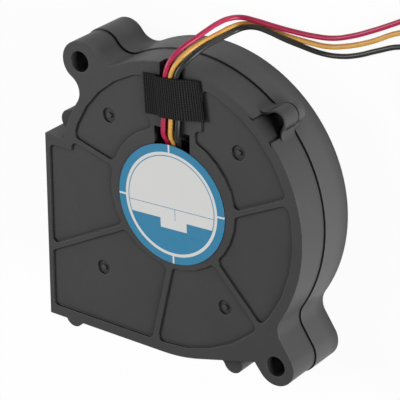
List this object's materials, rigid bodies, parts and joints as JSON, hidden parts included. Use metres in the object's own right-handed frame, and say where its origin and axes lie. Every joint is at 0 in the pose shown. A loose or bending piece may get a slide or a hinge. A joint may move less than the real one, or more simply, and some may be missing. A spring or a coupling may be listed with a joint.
{
  "type": "dc blower fan",
  "caption": "Flat radial blower: snap-latched volute housing, curved-blade impeller on a brushless outer-rotor motor, side outlet, label, taped leads.",
  "frame": {"origin": "on the rotor's axis, in the plane of the intake face", "axes": "+Z along the rotor's axis from the intake face to the label face, -X out of the outlet, +Y towards the edge where the leads leave"},
  "size_m": [0.0969, 0.0914, 0.0163],
  "materials": {
    "shell": "fine spark-eroded texture",
    "impeller_plastic": "moulded",
    "brass_tube": "turned",
    "bearing_steel": "ground",
    "polished_steel": "polished",
    "cage_brass": "stamped",
    "yoke_steel": "drawn",
    "magnet": "sintered",
    "lamination": "stamped",
    "white_plastic": "moulded",
    "copper": "enamelled",
    "tin": "tinned",
    "board": "lacquered",
    "chip_black": "moulded",
    "chip_brown": "fired",
    "label_film": "printed film",
    "tape_cloth": "woven",
    "lead_red": "extruded",
    "lead_yellow": "extruded",
    "lead_black": "extruded"
  },
  "bodies": {
    "housing": {"label_shell": "shell", "intake_shell": "shell", "bearing_tube": "brass_tube", "upper_outer_ring": "bearing_steel", "upper_shields": "bearing_steel", "lower_outer_ring": "bearing_steel", "lower_shields": "bearing_steel", "stator_core": "lamination", "upper_insulator": "white_plastic", "lower_insulator": "white_plastic", "windings": "copper", "winding_pins": "tin", "circuit_board": "board", "hall_sensor": "chip_black", "driver_chip": "chip_black", "board_chips": "chip_brown", "solder_joints": "tin", "label": "label_film", "cloth_tape": "tape_cloth", "lead_red": "lead_red", "lead_yellow": "lead_yellow", "lead_black": "lead_black", "coil_red": "lead_red", "coil_yellow": "lead_yellow", "coil_black": "lead_black"},
    "rotor": {"impeller": "impeller_plastic", "rotor_yoke": "yoke_steel", "magnet_ring": "magnet", "shaft": "polished_steel", "shaft_bush": "brass_tube", "upper_inner_ring": "bearing_steel", "lower_inner_ring": "bearing_steel", "retaining_clip": "bearing_steel", "thrust_washer": "white_plastic", "preload_spring": "polished_steel"},
    "upper_ball_set": {"upper_balls": "polished_steel", "upper_cage": "cage_brass"},
    "lower_ball_set": {"lower_balls": "polished_steel", "lower_cage": "cage_brass"}
  },
  "joints": [
    {"name": "rotor_spin", "type": "hinge", "parent": "housing", "child": "rotor", "pos_m": [0, 0, 0], "axis": [0, 0, 1], "continuous": true},
    {"name": "upper_balls_spin", "type": "hinge", "parent": "housing", "child": "upper_ball_set", "pos_m": [0, 0, 0.0121], "axis": [0, 0, 1], "continuous": true},
    {"name": "lower_balls_spin", "type": "hinge", "parent": "housing", "child": "lower_ball_set", "pos_m": [0, 0, 0.0075], "axis": [0, 0, 1], "continuous": true}
  ],
  "couplings": [
    {"joint": "upper_balls_spin", "follows": "rotor_spin", "ratio": 0.4},
    {"joint": "lower_balls_spin", "follows": "rotor_spin", "ratio": 0.4}
  ]
}
